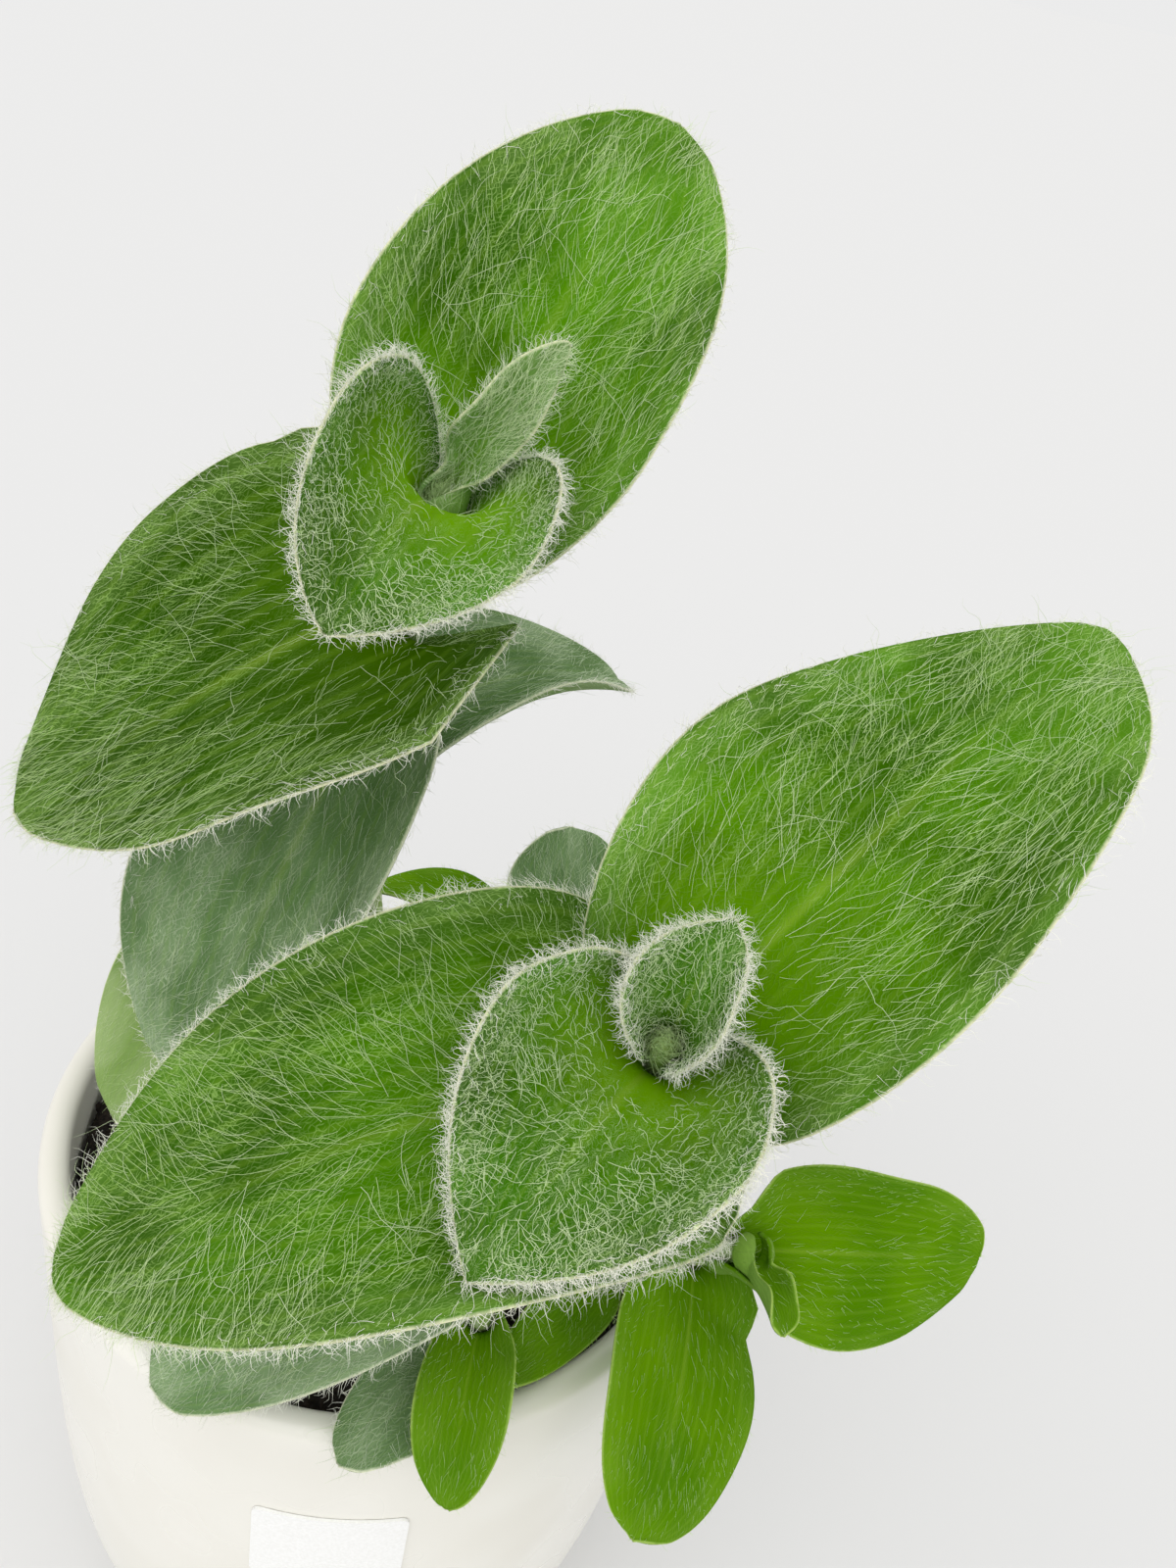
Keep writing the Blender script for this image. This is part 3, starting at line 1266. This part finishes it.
def hair_roots(tree, given):
    """Points on the skin, each with its own number, and the turn that lays a hair down there."""
    place = add_node(tree, "GeometryNodeInputPosition").outputs[0]
    thin = step_between(tree, noise(tree, place, PATCH_FINENESS, 1.0), 0.42, 0.6)
    even = calculate(tree, "SUBTRACT", 1.0, product(tree, thin, given["Patch"]))
    share = product(tree, named_attribute(tree, given["Share"]), even)
    points = add_node(tree, "GeometryNodeDistributePointsOnFaces", {
        "Mesh": given["Skin"], "Seed": given["Seed"],
        "Density": product(tree, given["Density"], share),
    })
    numbered = add_node(tree, "GeometryNodeStoreNamedAttribute", {
        "Geometry": points.outputs["Points"], "Name": "strand",
        "Value": random_between(tree, 0.0, 400.0, 11),
    }, data_type="FLOAT")
    axes = add_node(tree, "FunctionNodeAxesToRotation", {
        "Primary Axis": points.outputs["Normal"],
        "Secondary Axis": named_attribute(tree, "grow", "FLOAT_VECTOR"),
    }, primary_axis="Z", secondary_axis="X")
    drift = calculate(tree, "SUBTRACT", noise(tree, place, SWIRL_FINENESS), 0.5)
    back = product(tree, given["Spread"], -1.0)
    spread = random_between(tree, back, given["Spread"], 21)
    angle = calculate(tree, "MULTIPLY_ADD", drift, given["Swirl"], spread)
    rotation = turned_by(tree, axes.outputs[0], (0, 0, 1), angle)
    lift = product(tree, given["Lift"], named_attribute(tree, "lift"),
                   random_between(tree, -1.6, 0.1, 31))
    return numbered.outputs[0], turned_by(tree, rotation, (0, 1, 0), lift)


# %% Hairs on a skin
def shaken(tree, given, curves, factor):
    """The hairs bent by a noise that is different for each of them, more towards the tip."""
    shake = add_node(tree, "ShaderNodeTexNoise", noise_dimensions="4D")
    fill(tree, shake, {
        "W": named_attribute(tree, "strand"), "Scale": given["Curl"], "Detail": 1.0,
    })
    loose = product(tree, calculate(tree, "POWER", factor, 0.6), given["Wave"], 4.0)
    offset = vector_math(tree, "SUBTRACT", shake.outputs["Color"], (0.5, 0.5, 0.5))
    return add_node(tree, "GeometryNodeSetPosition", {
        "Geometry": curves, "Offset": scaled(tree, offset, loose),
    }).outputs[0]


def make_hair_group():
    outputs = [("Hairs", GEOMETRY)]
    tree, given, result = new_group("hairs on a skin", HAIR_INPUTS, outputs, "GeometryNodeTree")
    roots, rotation = hair_roots(tree, given)
    length = product(tree, given["Length"], random_between(tree, 0.45, 1.25, 41),
                     named_attribute(tree, given["Size"]))
    place = add_node(tree, "GeometryNodeInstanceOnPoints", {
        "Points": roots, "Instance": template_hair(tree, given), "Rotation": rotation,
        "Scale": length,
    })
    real = add_node(tree, "GeometryNodeRealizeInstances", {0: place.outputs[0]})
    factor = add_node(tree, "GeometryNodeSplineParameter").outputs["Factor"]
    wavy = shaken(tree, given, real.outputs[0], factor)
    circle = add_node(tree, "GeometryNodeCurvePrimitiveCircle", {
        "Resolution": HAIR_SIDES, "Radius": 0.5,
    })
    taper = calculate(tree, "MULTIPLY_ADD", calculate(tree, "POWER", factor, 2.0), -0.8, 1.0)
    tube = add_node(tree, "GeometryNodeCurveToMesh", {
        "Curve": wavy, "Profile Curve": circle.outputs[0], "Fill Caps": True,
        "Scale": product(tree, taper, given["Width"]),
    })
    finish = add_node(tree, "GeometryNodeSetMaterial", {
        "Geometry": tube.outputs[0], "Material": given["Material"],
    })
    tree.links.new(finish.outputs[0], result["Hairs"])
    return tree


hair_group = make_hair_group()
print("nodes in the hair group:", len(hair_group.nodes))

# %% [markdown]
# A coat has three layers of hairs: the down on the face, some long loose floss over it, and the
# short felt that edges each leaf in cream. The coat's own tree holds the hair group three times
# and joins the results. Its inputs carry the names of the layers, such as Down Density and Felt
# Density, so that a leaf's coat is a short list of sizes.

# %% Coat tree
LAYERS = {
    "Down": ("face_share", "face_size"),
    "Floss": ("face_share", "face_size"),
    "Felt": ("margin_share", "margin_size"),
}


def make_coat_tree():
    sizes = HAIR_INPUTS[3:]
    inputs = [("Skin", GEOMETRY, None)]
    for layer in LAYERS:
        inputs += [(f"{layer} {label}", kind, value) for label, kind, value in sizes]
    outputs = [("Coat", GEOMETRY)]
    tree, given, result = new_group("leaf coat", inputs, outputs, "GeometryNodeTree")
    join = add_node(tree, "GeometryNodeJoinGeometry")
    for layer, (share, size) in LAYERS.items():
        own = {label: given[f"{layer} {label}"] for label, _, _ in sizes}
        inputs = {"Skin": given["Skin"], "Share": share, "Size": size, **own}
        hairs = add_node(tree, "GeometryNodeGroup", node_tree=hair_group)
        fill(tree, hairs, inputs)
        tree.links.new(hairs.outputs[0], join.inputs[0])
    real = add_node(tree, "GeometryNodeRealizeInstances", {0: join.outputs[0]})
    shaded = add_node(tree, "GeometryNodeSetShadeSmooth", {0: real.outputs[0]})
    tree.links.new(shaded.outputs[0], result["Coat"])
    return tree


coat_tree = make_coat_tree()
print("inputs of the coat:", len(coat_tree.interface.items_tree))


# %% Hair finishes
def make_hair_finish(name, colour, sheen=0.0):
    material, tree, surface = new_material(name)
    fill(tree, surface, {
        "Base Color": linear(colour), "Sheen Weight": sheen, "Roughness": 0.7,
        "Specular IOR Level": 0.05,
    })
    return material


white_hair = make_hair_finish("white hair", "cee6a6")
floss_hair = make_hair_finish("silky floss", "d8e8bc")
mint_hair = make_hair_finish("young white down", "dceebc", 0.2)
grey_hair = make_hair_finish("grey hair", "ccdcbc")
cream_felt = make_hair_finish("cream felt", "fbfbee", 0.6)

# %% [markdown]
# Each kind of leaf has its own coat. Density counts hairs to the square millimetre, and length,
# width and wave are in millimetres. Lift, spread and swirl are angles in radians: how far a hair
# rises, how far it strays alone, and how far whole tufts turn. Bow is a share of the length,
# patch says how much thinner the thin places are, curl how fine the waves are, and parts how
# many straight pieces a hair has. A layer that a leaf lacks has a density of nought.

# %% Coats
COLUMNS = ("Density", "Material", "Length", "Width", "Wave", "Lift", "Bow", "Spread", "Swirl",
           "Patch", "Curl", "Parts")
UNITS = {"Density": 1e6, "Length": MM, "Width": MM, "Wave": MM}
COATS = {
    "velvet": {
        "Down": (1.5, white_hair, 4.6, 0.052, 0.36, 0.08, 0.05, 0.45, 2.4, 0.6, 400, 5),
        "Floss": (0.2, floss_hair, 9.0, 0.056, 1.3, 0.1, 0.05, 1.2, 4.5, 0.6, 260, 10),
        "Felt": (25, cream_felt, 1.7, 0.055, 0.6, 0.2, 0.1, 1.4, 2.0, 0.5, 800, 4),
    },
    "young": {
        "Down": (4.9, mint_hair, 2.8, 0.058, 0.6, 0.25, 0.1, 1.0, 3.8, 0.5, 620, 5),
        "Floss": (0.12, floss_hair, 5.0, 0.05, 1.1, 0.35, 0.15, 2.0, 3.0, 0.0, 400, 9),
        "Felt": (38, cream_felt, 1.5, 0.058, 0.7, 0.2, 0.15, 1.5, 2.4, 0.3, 900, 4),
    },
    "bud": {
        "Down": (3.4, mint_hair, 5.0, 0.06, 0.6, 0.14, 0.08, 0.5, 2.6, 0.5, 420, 6),
        "Floss": (0.3, floss_hair, 5.0, 0.05, 1.1, 0.3, 0.15, 1.4, 3.0, 0.0, 400, 9),
        "Felt": (20, cream_felt, 1.4, 0.055, 0.6, 0.3, 0.15, 1.4, 2.0, 0.3, 900, 4),
    },
    "grey": {
        "Down": (1.2, grey_hair, 3.4, 0.056, 0.4, 0.1, 0.05, 0.5, 2.8, 0.5, 420, 4),
        "Floss": (0.05, floss_hair, 7.0, 0.05, 0.9, 0.12, 0.06, 0.5, 3.0, 0.3, 260, 8),
        "Felt": (17, cream_felt, 1.4, 0.055, 0.5, 0.25, 0.1, 1.2, 1.6, 0.5, 700, 3),
    },
    "pale": {
        "Down": (0.8, white_hair, 2.4, 0.04, 0.25, 0.12, 0.04, 0.5, 1.8, 0.6, 500, 3),
        "Floss": (0, floss_hair),
        "Felt": (12, cream_felt, 0.9, 0.045, 0.25, 0.3, 0.1, 1.6, 1.5, 0.3, 600, 2),
    },
    "fresh": {
        "Down": (1.2, white_hair, 1.7, 0.034, 0.2, 0.12, 0.04, 0.5, 1.8, 0.6, 500, 2),
        "Floss": (0, floss_hair),
        "Felt": (14, white_hair, 0.8, 0.04, 0.15, 0.3, 0.1, 1.6, 1.5, 0.3, 600, 2),
    },
}


def grow_coat(name, base, coat, seed):
    values = {}
    for step, (layer, row) in enumerate(coat.items()):
        for label, size in zip(COLUMNS, row):
            values[f"{layer} {label}"] = size * UNITS[label] if label in UNITS else size
        values[f"{layer} Seed"] = seed + step
    return grown(name, base, coat_tree, values)


for number, (name, form) in enumerate(LEAVES.items()):
    skin = leaf_pieces[name].data
    coat = grow_coat(f"leaf_coat_{name}", skin, COATS[form["kind"]], 100 + 7 * number)
    hand_over(coat, leaf_slots[form["kind"]])

# %% [markdown]
# The stems are hairy too, more thinly, with hairs that point up the stem and close into a tuft
# over its end. Their skins get the same values per point, and the same tree grows them.

# %% Stem coats
STEM_COAT = {
    "Down": (0.32, white_hair, 2.2, 0.055, 0.35, 0.4, 0.1, 0.9, 1.8, 0.0, 500, 4),
    "Floss": (0, white_hair),
    "Felt": (0, white_hair),
}
LONG_STEM = 60
LONG_STEM_TUFT = 66
SHORT_STEM_TUFT = 6
TUFT_DEPTH = 3.5


def add_stem_values(mesh, stem):
    distances = stem_distances(stem)
    height = np.array([vertex.co.z for vertex in mesh.vertices])
    to_tip = np.repeat(stem.length - distances, STEM_SIDES)
    tuft = LONG_STEM_TUFT if stem.length > LONG_STEM else SHORT_STEM_TUFT
    share = 1 + tuft * smooth(1 - to_tip / TUFT_DEPTH)
    set_value(mesh, "grow", np.repeat(stem.heading(distances), STEM_SIDES, axis=0))
    set_value(mesh, "face_share", (height > (SOIL_TOP + 1) * MM) * share)
    set_value(mesh, "margin_share", 0 * height)
    for label in ("face_size", "margin_size", "lift"):
        set_value(mesh, label, np.ones(len(height)))


for number, (name, skin) in enumerate(stem_skins.items()):
    add_stem_values(skin.data, stems[name])
    hand_over(grow_coat(f"stem_coat_{name}", skin.data, STEM_COAT, 400 + number), "stem")

# %% [markdown]
# ## Hand over
#
# The values that only the coats needed come off the skins. The two boxes, the frame's and the
# dressed plant's, are kept side by side, because the finish must not change the size.

# %% Finish
for piece in [*leaf_pieces.values(), *stem_skins.values(), soil_body]:
    drop_coat_values(piece.data)
print("triangles added:", sum(triangle_counts))
